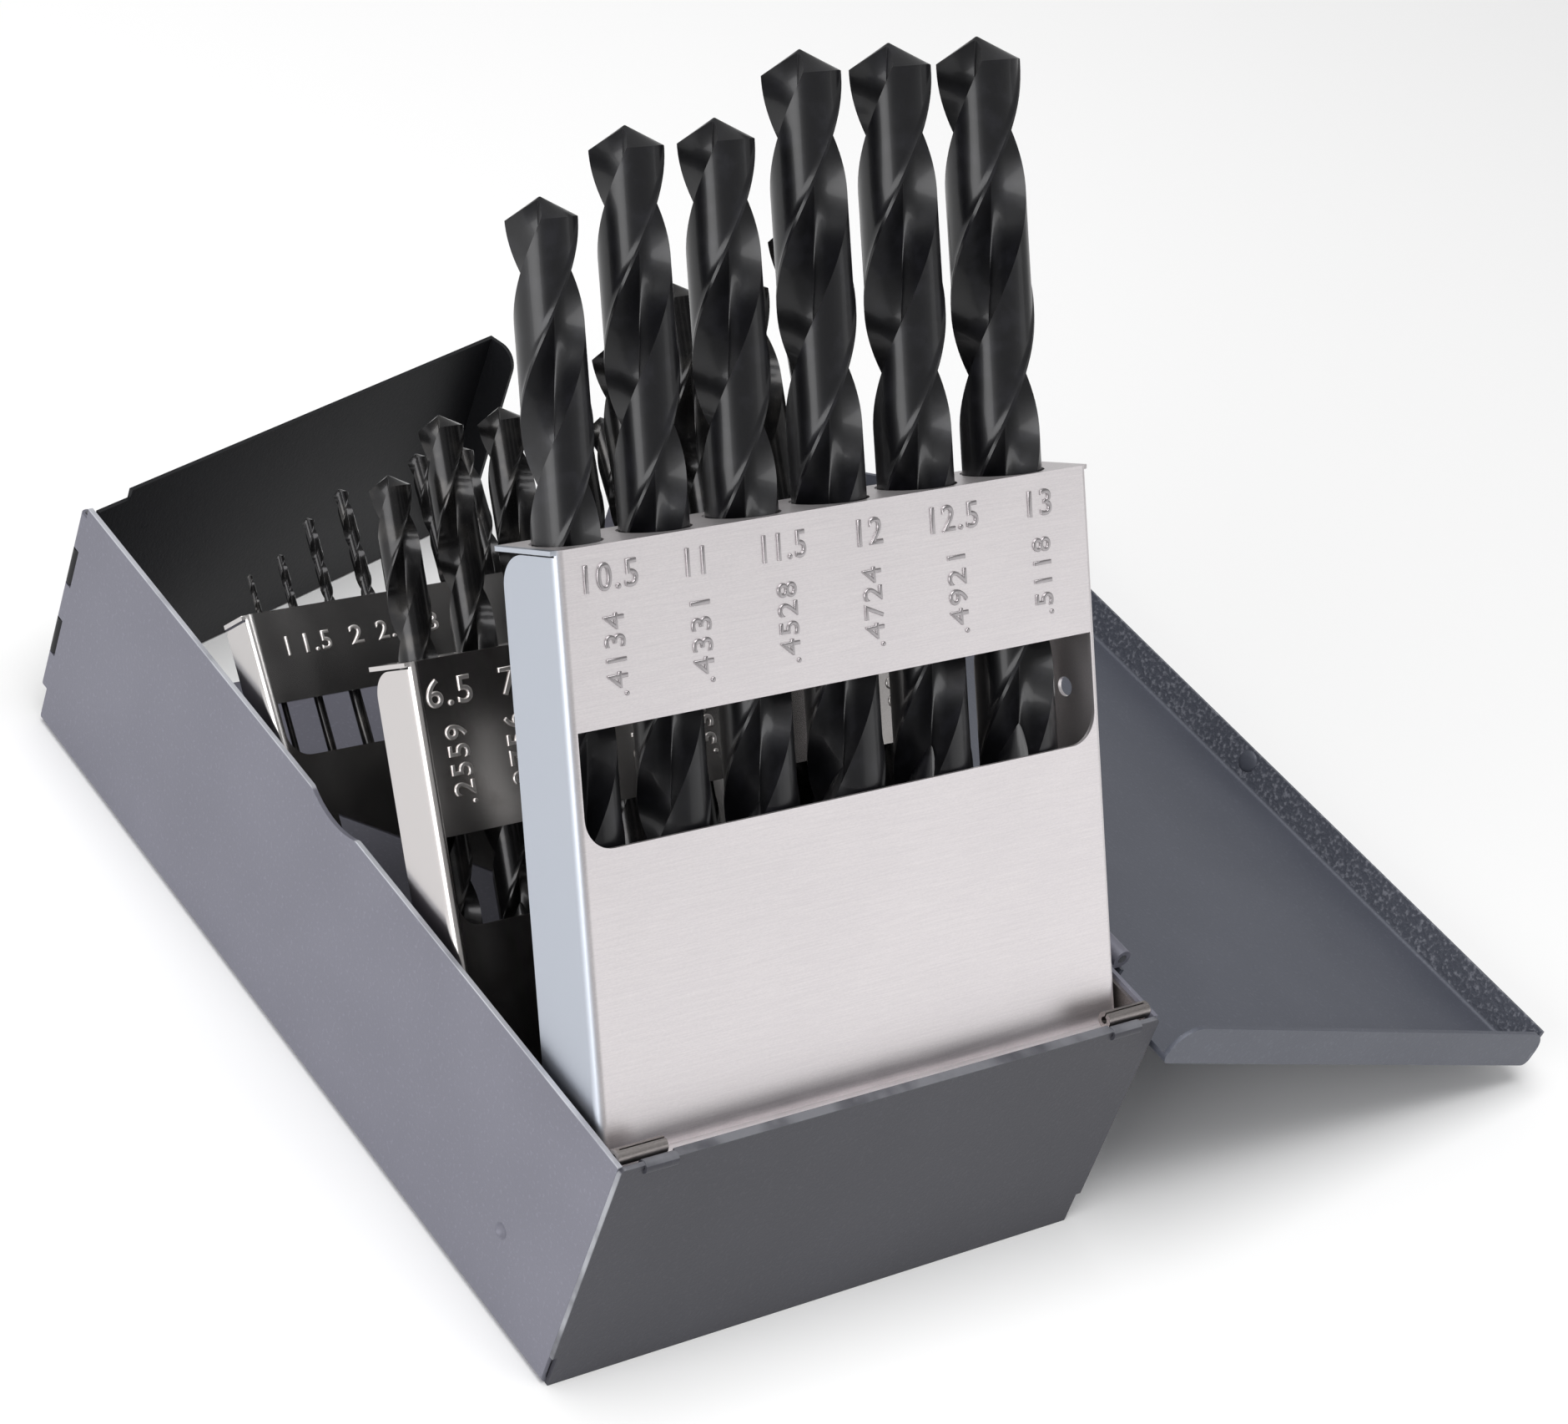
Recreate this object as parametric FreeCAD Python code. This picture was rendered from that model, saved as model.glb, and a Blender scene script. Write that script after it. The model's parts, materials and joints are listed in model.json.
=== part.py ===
import FreeCAD, Part
import math
import os

# Drill bit case of bent sheet steel, open on a table. Millimetres.
# X runs across the case, Y from the front panel to the back door, Z up.
# The origin is the middle of the tray's underside.

V = FreeCAD.Vector
X_AXIS = V(1, 0, 0)
Y_AXIS = V(0, 1, 0)
Z_AXIS = V(0, 0, 1)

# Case
case_sheet = 0.8
tray_width = 108.0
tray_length = 164.9
tray_height = 45.4
case_bend = 0.8
running_gap = 0.3
overrun = 6.0
thumb_notch_width = 14.0
thumb_notch_depth = 1.6
dimple_forward = 63.6
dimple_height = 15.1
dimple_radius = 2.4
dimple_depth = 0.5

# Front panel
relief_width = 1.0
relief_height = 6.0
panel_corner = 1.2
hem_height = 5.0
hem_inset = 10.5
roll_radius = 1.1
roll_bore = 0.5
roll_inset = 10.4
roll_length = 6.0
roll_forward = 0.35
roll_drop = 0.8
floor_lip = 6.6
floor_lip_inset = 4.0

# Lid and its hinge on the right wall
lid_open_angle = 196.4
hinge_stand_off = 3.7
hinge_drop = 0.6
hinge_barrel = 1.7
hinge_pin_radius = 0.75
lid_inside_height = 7.5
lid_side_gap = 0.6
lid_hinge_gap = 1.6
lid_front_gap = 1.15
lid_back_gap = 1.65
lid_flange = 7.4
lid_bend = 0.8
lid_front_corner = 4.0
lid_hinge_corner = 5.7
hinge_front_inset = 14.05
hinge_back_inset = 10.85
knuckle_count = 7
pin_clearance = 0.05

# Back door on the left wall's back edge
door_open_angle = 17.6
door_barrel = 1.2
door_pin_radius = 0.55
door_axis_inset = 1.2
door_axis_back = 0.15
door_lift = 0.3
door_flange = 6.0
door_flange_gap = 1.0
door_flange_corner = 4.0
door_notch_length = 9.0
door_notch_depth = 1.9
door_barrel_top = 1.9
door_barrel_bottom = 6.9
door_knuckle_count = 5

# Side plates inside the walls
plate_sheet = 0.7
plate_front_gap = 1.05
plate_lift = 1.0
plate_drop = 0.8
plate_shelf = 14.6
plate_middle_back = 40.0
plate_middle_height = 30.0
plate_end_back = 14.0
plate_end_height = 11.5
plate_corner = 3.0
lug_radius = 1.35
lug_bore = 0.6
lug_length = 8.3
lug_back = 2.95
lug_drop = 0.4
lug_seam = 0.25

# Racks, each given where it turns, how it leans and how far it reaches
rack_sheet = 0.7
rack_side_gap = 2.2
rack_bend = 0.8
top_plate_overhang = 0.4
top_plate_gap = 0.3
flange_foot = 3.0
flange_foot_corner = 3.0
curl_radius = 1.9
rack_pin_radius = 1.2
rack_pin_end_gap = 0.2
bit_clearance = 0.2
floor_side_gap = 0.1
floor_tab = 2.0
window_inset = 1.5

large_pivot_inset = 4.18
large_pivot_height = 40.1
large_rise = 57.0
large_reach = 91.3
large_face_drop = 1.2
large_depth = 15.0
large_flange = 13.4
large_flange_corner = 5.0
large_axis = 7.5
large_floor_depth = 83.4
large_window_top = 26.5
large_window_bottom = 44.1
large_window_corner = 5.0
large_left_margin = 2.15
large_right_margin = 4.95
large_flange_hole = 1.6
large_flange_hole_depth = 36.0

medium_pivot_inset = 27.55
medium_pivot_height = 22.5
medium_rise = 48.6
medium_reach = 75.2
medium_face_drop = 1.2
medium_depth = 11.3
medium_flange = 10.2
medium_flange_corner = 4.0
medium_axis = 5.9
medium_floor_depth = 72.6
medium_window_top = 27.0
medium_window_bottom = 41.0
medium_window_corner = 4.0
medium_left_margin = 2.35
medium_right_margin = 6.55

small_pivot_inset = 57.35
small_pivot_height = 5.9
small_rise = 37.6
small_reach = 79.7
small_face_lift = 2.3
small_depth = 7.3
small_flange = 7.0
small_flange_corner = 0.8
small_axis = 3.75
small_floor_depth = 27.2
small_floor_lift = 0.4
small_floor_knee_inset = 10.3
small_window_top = 15.0
small_window_bottom = 24.0
small_window_corner = 4.0
small_left_margin = 4.4
small_right_margin = 8.7
small_lower_edge = 5.8
small_arm = 7.0

# Twist drills
small_diameters = [1.0, 1.5, 2.0, 2.5, 3.0, 3.5, 4.0, 4.5, 5.0, 5.5, 6.0]
small_lengths = [34.0, 40.0, 49.0, 57.0, 61.0, 70.0, 75.0, 80.0, 86.0, 93.0, 93.0]
small_flutes = [12.0, 18.0, 24.0, 30.0, 33.0, 39.0, 43.0, 47.0, 52.0, 57.0, 57.0]
medium_diameters = [6.5, 7.0, 7.5, 8.0, 8.5, 9.0, 9.5, 10.0]
medium_lengths = [101.0, 109.0, 109.0, 117.0, 117.0, 125.0, 125.0, 133.0]
medium_flutes = [63.0, 69.0, 69.0, 75.0, 75.0, 81.0, 81.0, 87.0]
large_diameters = [10.5, 11.0, 11.5, 12.0, 12.5, 13.0]
large_lengths = [133.0, 142.0, 142.0, 151.0, 151.0, 151.0]
large_flutes = [87.0, 94.0, 94.0, 101.0, 101.0, 101.0]
helix_pitch_share = 5.8
web_share = 0.2
run_out_share = 1.0
land_angle = 37.0
flute_floor_share = 0.24
point_angle = 118.0
section_turn = 45.0
point_turn = 12.0

# Worked out from the sizes above
half_width = tray_width / 2
half_length = tray_length / 2
wall_inside = half_width - case_sheet
front_inside = -half_length + case_sheet
back_inside = half_length - case_sheet
hinge_x = half_width + hinge_stand_off
hinge_z = tray_height - hinge_drop
lid_top_inside = hinge_z + lid_inside_height
door_x = -half_width + door_axis_inset
door_y = half_length + door_axis_back
plate_face = wall_inside - plate_sheet
knuckle_length = (tray_length - hinge_front_inset - hinge_back_inset) / knuckle_count
hinge_front = -half_length + hinge_front_inset
hem_half_length = half_width - hem_inset
roll_inner_end = half_width - roll_inset
rack_half_width = half_width - rack_side_gap
large_face = -large_face_drop
medium_face = -medium_face_drop
small_face = small_face_lift
small_first_bit = -rack_half_width + small_left_margin + small_diameters[0] / 2
small_floor_end = curl_radius + rack_sheet + small_floor_lift
small_floor_knee = rack_half_width - small_floor_knee_inset
small_floor_fall = small_reach - small_floor_depth - small_floor_end
small_floor_slope = small_floor_fall / (small_floor_knee - small_first_bit)


def closed_wire(corners):
    """Wire through (point, radius) corners, each turned by a tangent arc."""
    starts = []
    middles = []
    ends = []
    for index, (here, radius) in enumerate(corners):
        before = (corners[index - 1][0] - here).normalize()
        after = (corners[(index + 1) % len(corners)][0] - here).normalize()
        half = before.getAngle(after) / 2
        reach = radius / math.tan(half)
        inward = (before + after).normalize() if radius else V()
        centre = here + inward * (radius / math.sin(half))
        starts.append(here + before * reach)
        middles.append(centre - inward * radius)
        ends.append(here + after * reach)
    edges = []
    for index in range(len(corners)):
        if ends[index - 1].distanceToPoint(starts[index]) > Part.Precision.confusion():
            edges.append(Part.makeLine(ends[index - 1], starts[index]))
        if corners[index][1]:
            edges.append(Part.Arc(starts[index], middles[index], ends[index]).toShape())
    return Part.Wire(edges)


def plate(corners, thickness):
    """Flat plate: the outline through the corners, pushed by the thickness vector."""
    return Part.Face(closed_wire(corners)).extrude(thickness)


def block(low, high):
    """Box between two opposite corners."""
    size = high - low
    return Part.makeBox(size.x, size.y, size.z, low)


def rod(radius, start, axis, length):
    """Round rod."""
    return Part.makeCylinder(radius, length, start, axis)


def knuckle_spans(start, length, count, wanted):
    """Start and end of every second knuckle, with the running gap taken off."""
    spans = []
    for index in range(count):
        if index % 2 == wanted:
            low = start + index * length + running_gap / 2
            spans.append((low, low + length - running_gap))
    return spans


def lid_knuckles(wanted):
    return knuckle_spans(hinge_front, knuckle_length, knuckle_count, wanted)


def door_knuckles(wanted):
    height = tray_height - door_barrel_top - door_barrel_bottom
    return knuckle_spans(door_barrel_bottom, height / door_knuckle_count, door_knuckle_count, wanted)


def tray():
    """Floor and two side walls bent from one sheet, with the hinge leaves."""
    outer = case_bend + case_sheet
    profile = [
        (V(-half_width, front_inside, tray_height), 0),
        (V(-half_width, front_inside, 0), outer),
        (V(half_width, front_inside, 0), outer),
        (V(half_width, front_inside, tray_height), 0),
        (V(wall_inside, front_inside, tray_height), 0),
        (V(wall_inside, front_inside, case_sheet), case_bend),
        (V(-wall_inside, front_inside, case_sheet), case_bend),
        (V(-wall_inside, front_inside, tray_height), 0),
    ]
    length = back_inside - running_gap - front_inside
    body = plate(profile, V(0, length, 0))

    flange_room = block(
        V(wall_inside - overrun, back_inside - door_flange - door_flange_gap, case_sheet + case_bend),
        V(half_width + overrun, half_length + overrun, tray_height + overrun))
    body = body.cut(flange_room)

    notch_radius = (thumb_notch_width ** 2 / 4 + thumb_notch_depth ** 2) / (2 * thumb_notch_depth)
    notch_centre = V(-half_width - overrun, 0, tray_height - thumb_notch_depth + notch_radius)
    body = body.cut(rod(notch_radius, notch_centre, X_AXIS, 2 * overrun))
    ball_centre = V(-half_width - dimple_radius + dimple_depth, -dimple_forward, dimple_height)
    body = body.cut(Part.makeSphere(dimple_radius, ball_centre))

    for low, high in lid_knuckles(0):
        leaf = block(V(half_width - case_sheet / 2, low, hinge_z - hinge_barrel),
                     V(hinge_x, high, hinge_z - hinge_barrel + case_sheet))
        barrel = rod(hinge_barrel, V(hinge_x, low, hinge_z), Y_AXIS, high - low)
        body = body.fuse([leaf, barrel])
    bore = rod(hinge_pin_radius + pin_clearance, V(hinge_x, -tray_length, hinge_z), Y_AXIS, 2 * tray_length)

    for low, high in door_knuckles(0):
        leaf = block(V(-half_width, back_inside - door_barrel, low), V(-wall_inside, door_y, high))
        barrel = rod(door_barrel, V(door_x, door_y, low), Z_AXIS, high - low)
        body = body.fuse([leaf, barrel])
    room = rod(door_barrel + running_gap, V(door_x, door_y, 0), Z_AXIS, tray_height)
    for low, high in door_knuckles(1):
        gap = running_gap / 2
        ring_room = room.common(block(V(-tray_width, 0, low - gap), V(0, tray_length, high + gap)))
        body = body.cut(ring_room)
    door_bore = rod(door_pin_radius + pin_clearance, V(door_x, door_y, 0), Z_AXIS, tray_height)
    return body.cut(bore).cut(door_bore).removeSplitter()


def front_panel():
    """Panel over the ends of the side walls, hemmed and rolled at the top."""
    y = -half_length
    outline = [
        (V(-half_width, y, relief_height), 0),
        (V(-half_width + relief_width, y, relief_height), 0),
        (V(-half_width + relief_width, y, 0), 0),
        (V(half_width - relief_width, y, 0), 0),
        (V(half_width - relief_width, y, relief_height), 0),
        (V(half_width, y, relief_height), 0),
        (V(half_width, y, tray_height), panel_corner),
        (V(-half_width, y, tray_height), panel_corner),
    ]
    panel = plate(outline, V(0, case_sheet, 0))
    hem = block(V(-hem_half_length, front_inside, tray_height - hem_height),
                V(hem_half_length, front_inside + case_sheet, tray_height))
    lip = block(V(-wall_inside + floor_lip_inset, front_inside, case_sheet),
                V(wall_inside - floor_lip_inset, front_inside + floor_lip, 2 * case_sheet))
    panel = panel.fuse([hem, lip])
    roll_y = front_inside - roll_forward
    roll_z = tray_height - roll_drop
    for side_start in (-roll_inner_end - roll_length, roll_inner_end):
        roll = rod(roll_radius, V(side_start, roll_y, roll_z), X_AXIS, roll_length)
        hole = rod(roll_bore, V(side_start, roll_y, roll_z), X_AXIS, roll_length)
        panel = panel.fuse(roll).cut(hole)
    return panel.removeSplitter()


def lid():
    """Shallow lid with four turned edges, drawn closed and then swung open."""
    left = -half_width - lid_side_gap - case_sheet
    right = half_width + lid_hinge_gap + case_sheet
    front = -half_length - lid_front_gap - case_sheet
    back = half_length + lid_back_gap + case_sheet
    top = lid_top_inside + case_sheet
    edge = top - lid_flange
    outer = lid_bend + case_sheet
    start = front + case_sheet
    channel = [
        (V(left, start, edge), 0),
        (V(left, start, top), outer),
        (V(right, start, top), outer),
        (V(right, start, hinge_z), 0),
        (V(right - case_sheet, start, hinge_z), 0),
        (V(right - case_sheet, start, lid_top_inside), lid_bend),
        (V(left + case_sheet, start, lid_top_inside), lid_bend),
        (V(left + case_sheet, start, edge), 0),
    ]
    body = plate(channel, V(0, back - front - 2 * case_sheet, 0))
    for end in (front, back - case_sheet):
        outline = [
            (V(left, end, edge), lid_front_corner),
            (V(left, end, top), outer),
            (V(right, end, top), outer),
            (V(right, end, edge), lid_hinge_corner),
        ]
        body = body.fuse(plate(outline, V(0, case_sheet, 0)))

    barrel_back = hinge_front + knuckle_count * knuckle_length
    for low, high in ((start, hinge_front), (barrel_back, back - case_sheet)):
        body = body.cut(block(V(right - case_sheet, low, edge - overrun),
                              V(right + overrun, high, lid_top_inside - lid_bend)))
    for low, high in lid_knuckles(0):
        body = body.cut(block(V(right - case_sheet, low - running_gap, edge - overrun),
                              V(right + overrun, high + running_gap, hinge_z + hinge_barrel + running_gap)))
    for low, high in lid_knuckles(1):
        body = body.fuse(rod(hinge_barrel, V(hinge_x, low, hinge_z), Y_AXIS, high - low))
    bore = rod(hinge_pin_radius + pin_clearance, V(hinge_x, -tray_length, hinge_z), Y_AXIS, 2 * tray_length)
    body = body.cut(bore).removeSplitter()
    body.rotate(V(hinge_x, 0, hinge_z), Y_AXIS, lid_open_angle)
    return body


def lid_hinge_pin():
    length = knuckle_count * knuckle_length - running_gap
    return rod(hinge_pin_radius, V(hinge_x, hinge_front + running_gap / 2, hinge_z), Y_AXIS, length)


def back_door():
    """Door with one turned edge, drawn closed and then swung a little open."""
    top = tray_height
    outline = [
        (V(door_x, back_inside, door_lift), 0),
        (V(half_width, back_inside, door_lift), 0),
        (V(half_width, back_inside, top), 0),
        (V(door_x, back_inside, top), 0),
    ]
    body = plate(outline, V(0, case_sheet, 0))
    flange_bottom = case_sheet + case_bend + running_gap
    flange = [
        (V(wall_inside, back_inside, flange_bottom), 0),
        (V(wall_inside, back_inside - door_flange, flange_bottom), door_flange_corner),
        (V(wall_inside, back_inside - door_flange, top), door_flange_corner),
        (V(wall_inside, back_inside, top), 0),
    ]
    body = body.fuse(plate(flange, V(case_sheet, 0, 0)))

    room_x = door_x + door_barrel + running_gap
    gap = running_gap / 2
    ends = [(0, door_barrel_bottom), (tray_height - door_barrel_top, tray_height + overrun)]
    for low, high in ends + door_knuckles(0):
        body = body.cut(block(V(-tray_width, 0, low - gap), V(room_x, tray_length, high + gap)))
    for low, high in door_knuckles(1):
        body = body.fuse(rod(door_barrel, V(door_x, door_y, low), Z_AXIS, high - low))
    bore = rod(door_pin_radius + pin_clearance, V(door_x, door_y, 0), Z_AXIS, tray_height)
    notch = block(V(door_x, 0, tray_height - door_notch_depth),
                  V(door_x + door_notch_length, tray_length, tray_height + overrun))
    body = body.cut(bore).cut(notch).removeSplitter()
    body.rotate(V(door_x, door_y, 0), Z_AXIS, door_open_angle)
    return body


def back_door_hinge_pin():
    length = tray_height - door_barrel_top - door_barrel_bottom
    return rod(door_pin_radius, V(door_x, door_y, door_barrel_bottom), Z_AXIS, length)


def rack_pivots():
    return [
        V(0, -half_length + large_pivot_inset, large_pivot_height),
        V(0, -half_length + medium_pivot_inset, medium_pivot_height),
        V(0, -half_length + small_pivot_inset, small_pivot_height),
    ]


def side_plate(side):
    """Bare plate inside one wall: it holds the rack pins and ends in a curled lug."""
    inner = plate_face if side > 0 else -wall_inside
    front = front_inside + plate_front_gap
    top = tray_height - plate_drop
    low = case_sheet + plate_lift
    outline = [
        (V(inner, front, low), plate_corner),
        (V(inner, front, top), 0),
        (V(inner, front + plate_shelf, top), plate_corner),
        (V(inner, -plate_middle_back, plate_middle_height), plate_corner),
        (V(inner, -plate_end_back, plate_end_height), plate_corner),
        (V(inner, -plate_end_back, low), plate_corner),
    ]
    body = plate(outline, V(plate_sheet, 0, 0))
    lug_y = front_inside + lug_back - lug_radius / 2
    lug_z = tray_height - lug_drop
    start = plate_face - lug_length if side > 0 else -wall_inside
    length = lug_length + plate_sheet
    lug = rod(lug_radius, V(start, lug_y, lug_z), X_AXIS, length)
    body = body.fuse(lug)
    body = body.cut(rod(lug_bore, V(start, lug_y, lug_z), X_AXIS, length))
    seam_start = start if side > 0 else start + plate_sheet
    seam = block(V(seam_start, lug_y, lug_z),
                 V(seam_start + lug_length, lug_y + lug_seam, lug_z + lug_radius + overrun))
    body = body.cut(seam)
    for pivot in rack_pivots():
        hole_start = V(inner - overrun, pivot.y, pivot.z)
        body = body.cut(rod(rack_pin_radius + pin_clearance, hole_start, X_AXIS, 2 * overrun))
    return body.removeSplitter()


def rack_pin(pivot):
    half = wall_inside - rack_pin_end_gap
    return rod(rack_pin_radius, V(-half, pivot.y, pivot.z), X_AXIS, 2 * half)


def bit_places(diameters, left_margin, right_margin):
    """Where the bits stand across the rack, spread with one gap between them."""
    room = 2 * rack_half_width - left_margin - right_margin - sum(diameters)
    gap = room / (len(diameters) - 1)
    places = [-rack_half_width + left_margin + diameters[0] / 2]
    for before, after in zip(diameters, diameters[1:]):
        places.append(places[-1] + (before + after) / 2 + gap)
    return places


def rack_shell(reach, face, depth, flange, corner, axis, diameters, places):
    """Face with two turned sides and a pierced top plate, lying flat about its pivot."""
    outer = rack_bend + rack_sheet
    back = face - flange
    inner_x = rack_half_width - rack_sheet
    inner_face = face - rack_sheet
    channel = [
        (V(-rack_half_width, 0, back), 0),
        (V(-rack_half_width, 0, face), outer),
        (V(rack_half_width, 0, face), outer),
        (V(rack_half_width, 0, back), 0),
        (V(inner_x, 0, back), 0),
        (V(inner_x, 0, inner_face), rack_bend),
        (V(-inner_x, 0, inner_face), rack_bend),
        (V(-inner_x, 0, back), 0),
    ]
    body = plate(channel, V(0, reach, 0))
    flange_top = reach - rack_sheet - top_plate_gap
    side = [
        (V(-rack_half_width - overrun, flange_foot, inner_face), 0),
        (V(-rack_half_width - overrun, flange_foot, back), flange_foot_corner),
        (V(-rack_half_width - overrun, flange_top, back), corner),
        (V(-rack_half_width - overrun, flange_top, inner_face), 0),
        (V(-rack_half_width - overrun, reach, inner_face), 0),
        (V(-rack_half_width - overrun, reach, face), 0),
        (V(-rack_half_width - overrun, 0, face), 0),
        (V(-rack_half_width - overrun, 0, inner_face), 0),
    ]
    body = body.common(plate(side, V(2 * (rack_half_width + overrun), 0, 0)))
    top_half = rack_half_width + top_plate_overhang
    top_outline = [
        (V(-top_half, reach - rack_sheet, face - depth), rack_bend),
        (V(top_half, reach - rack_sheet, face - depth), rack_bend),
        (V(top_half, reach - rack_sheet, face - rack_sheet), 0),
        (V(rack_half_width - outer, reach - rack_sheet, face), 0),
        (V(-rack_half_width + outer, reach - rack_sheet, face), 0),
        (V(-top_half, reach - rack_sheet, face - rack_sheet), 0),
    ]
    body = body.fuse(plate(top_outline, V(0, rack_sheet, 0)))
    for diameter, place in zip(diameters, places):
        radius = diameter / 2 + bit_clearance
        body = body.cut(rod(radius, V(place, reach - overrun, face - axis), Y_AXIS, 2 * overrun))
    return body


def window(reach, face, top, bottom, corner):
    """Cutter for the window across the rack's face, square above and round below."""
    half = rack_half_width - window_inset
    outline = [
        (V(-half, reach - top, face - rack_sheet - rack_bend), 0),
        (V(half, reach - top, face - rack_sheet - rack_bend), 0),
        (V(half, reach - bottom, face - rack_sheet - rack_bend), corner),
        (V(-half, reach - bottom, face - rack_sheet - rack_bend), corner),
    ]
    return plate(outline, V(0, 0, rack_sheet + rack_bend + overrun))


def with_curl(body, spans):
    """The lower edge rolled round the pin, over the given stretches."""
    for low, high in spans:
        body = body.fuse(rod(curl_radius, V(low, 0, 0), X_AXIS, high - low))
    bore = rod(rack_pin_radius + pin_clearance, V(-tray_width, 0, 0), X_AXIS, 2 * tray_width)
    return body.cut(bore).removeSplitter()


def raised(body, pivot, rise):
    """From the flat place about the pivot to the raised one on the case."""
    body.rotate(V(), X_AXIS, rise)
    body.translate(pivot)
    return body


def whole_width_rack(reach, face, depth, flange, corner, axis, diameters, places, opening):
    body = rack_shell(reach, face, depth, flange, corner, axis, diameters, places)
    body = body.cut(window(reach, face, *opening))
    return with_curl(body, [(-rack_half_width, rack_half_width)])


def small_floor_at(x):
    """Depth of the small rack's sloping floor below its top plate."""
    return small_floor_depth + small_floor_slope * (x - small_first_bit)


def small_rack_shell(places):
    """The small rack's face ends along its sloping floor, with an arm on the left."""
    body = rack_shell(small_reach, small_face, small_depth, small_flange, small_flange_corner,
                      small_axis, small_diameters, places)
    body = body.cut(window(small_reach, small_face, small_window_top, small_window_bottom,
                           small_window_corner))
    arm_x = -rack_half_width + small_arm
    arm_top = small_reach - small_floor_at(arm_x) - small_lower_edge
    foot_x = arm_x + arm_top / small_floor_slope
    below = [
        (V(arm_x, -overrun, small_face - rack_sheet), 0),
        (V(arm_x, arm_top, small_face - rack_sheet), 0),
        (V(foot_x, 0, small_face - rack_sheet), 0),
        (V(foot_x, -overrun, small_face - rack_sheet), 0),
    ]
    body = body.cut(plate(below, V(0, 0, rack_sheet + overrun)))
    return with_curl(body, [(-rack_half_width, arm_x), (foot_x, rack_half_width)])


def rack_floor(face, depth, line):
    """Strip across the rack that the shanks stand on, with its ends turned up.

    The line is the strip's upper side as (x, y) points from left to right.
    """
    low = face - depth + rack_sheet
    thickness = depth - 2 * rack_sheet - rack_bend
    left, right = line[0], line[-1]
    left_out = left[0] - rack_sheet
    right_out = right[0] + rack_sheet
    outline = [(left_out, left[1] + floor_tab), (left[0], left[1] + floor_tab)] + line
    outline += [(right[0], right[1] + floor_tab), (right_out, right[1] + floor_tab)]
    outline += [(right_out, right[1] - rack_sheet)]
    outline += [(x, y - rack_sheet) for x, y in reversed(line[1:-1])]
    outline += [(left[0], left[1] - rack_sheet), (left_out, left[1] - rack_sheet)]
    return plate([(V(x, y, low), 0) for x, y in outline], V(0, 0, thickness))


def drill_section(radius, web, turn, limit):
    """Two lands and two hollow flutes as ten points, turned about the axis."""
    land_x = radius * math.cos(math.radians(land_angle))
    land_y = radius * math.sin(math.radians(land_angle))
    floor_x = radius * flute_floor_share
    half = [(land_x, -land_y), (radius, 0), (land_x, land_y), (floor_x, web), (-floor_x, web)]
    section = []
    for x, y in half + [(-x, -y) for x, y in half]:
        reach = min(radius, limit, math.hypot(x, y))
        angle = math.atan2(y, x) + turn
        section.append((reach * math.cos(angle), reach * math.sin(angle)))
    return section


def drill_bit(diameter, length, flute):
    """Twist drill standing on its shank: twisted sections joined by flat facets."""
    radius = diameter / 2
    web = radius * web_share
    pitch = helix_pitch_share * diameter
    shank = length - flute
    run_out = run_out_share * diameter
    point = radius / math.tan(math.radians(point_angle / 2))
    steps = max(1, round((length - point - shank - run_out) / pitch * 360 / section_turn))
    heights = [0, shank, shank + run_out]
    straight = length - point - shank - run_out
    heights += [shank + run_out + straight * (step + 1) / steps for step in range(steps)]
    heights += [length - point / 2, length - point * web_share]
    rings = []
    for height in heights:
        along = max(0, height - shank)
        opened = min(1, along / run_out)
        hollow = radius + (web - radius) * opened
        limit = (length - height) / point * radius
        turn = math.radians(point_turn + 360 * (along - flute) / pitch)
        corners = drill_section(radius, hollow, turn, max(limit, web * web_share))
        rings.append([V(x, y, height) for x, y in corners])
    faces = [Part.Face(Part.makePolygon(ring + ring[:1])) for ring in (rings[0], rings[-1])]
    for lower, upper in zip(rings, rings[1:]):
        for index in range(len(lower)):
            following = (index + 1) % len(lower)
            a, b, c, d = lower[index], lower[following], upper[following], upper[index]
            faces.append(Part.Face(Part.makePolygon([a, b, c, a])))
            faces.append(Part.Face(Part.makePolygon([a, c, d, a])))
    body = Part.makeSolid(Part.makeShell(faces))
    if body.Volume < 0:
        body.reverse()
    body.rotate(V(), X_AXIS, -90)
    return body


def export(shape, name):
    solid = shape.Solids[0] if len(shape.Solids) == 1 else shape
    solid.exportStep(os.path.join("parts", name + ".step"))
    print(name, len(shape.Solids), shape.isValid(), round(shape.Volume))


def export_bits(diameters, lengths, flutes, places, floors, face, axis, reach, pivot, rise):
    for index, diameter in enumerate(diameters):
        bit = drill_bit(diameter, lengths[index], flutes[index])
        bit.translate(V(places[index], reach - floors[index], face - axis))
        name = "drill_bit_" + str(diameter).replace(".", "_")
        export(raised(bit, pivot, rise), name)


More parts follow.
